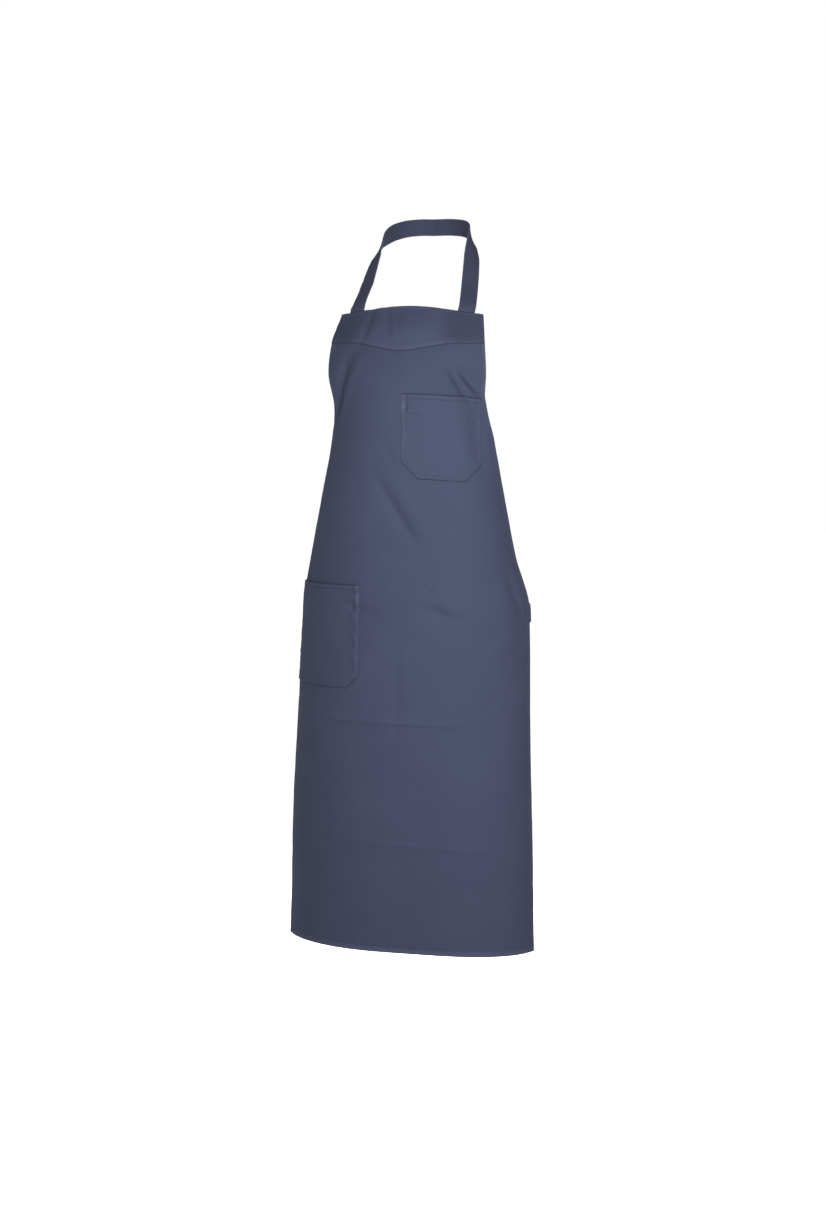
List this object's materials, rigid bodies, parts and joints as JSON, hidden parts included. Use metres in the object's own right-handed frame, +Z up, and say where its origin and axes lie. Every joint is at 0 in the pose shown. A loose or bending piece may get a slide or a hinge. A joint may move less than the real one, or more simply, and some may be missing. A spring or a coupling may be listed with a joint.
{
  "type": "bib apron",
  "caption": "Long bib apron of plain navy twill in its worn form, with facing, neck loop, patch pockets on chest and hip, and waist ties in a bow.",
  "frame": {"origin": "inner face of the neck strap at the back of the neck", "axes": "+Z up, -Y the way the apron's front faces, +X to the wearer's left"},
  "size_m": [0.4214, 0.2769, 1.1623],
  "materials": {
    "cloth": "navy cotton twill, matt with a faint sheen, lightly creased",
    "tape": "folded and edge-stitched tape of the same navy twill"
  },
  "bodies": {
    "root": {"apron_panel": "cloth", "bib_facing": "cloth", "chest_pocket": "cloth", "side_pocket": "cloth", "neck_strap": "tape", "waist_tie_right": "tape", "waist_tie_left": "tape", "tie_bow": "tape"}
  },
  "joints": []
}
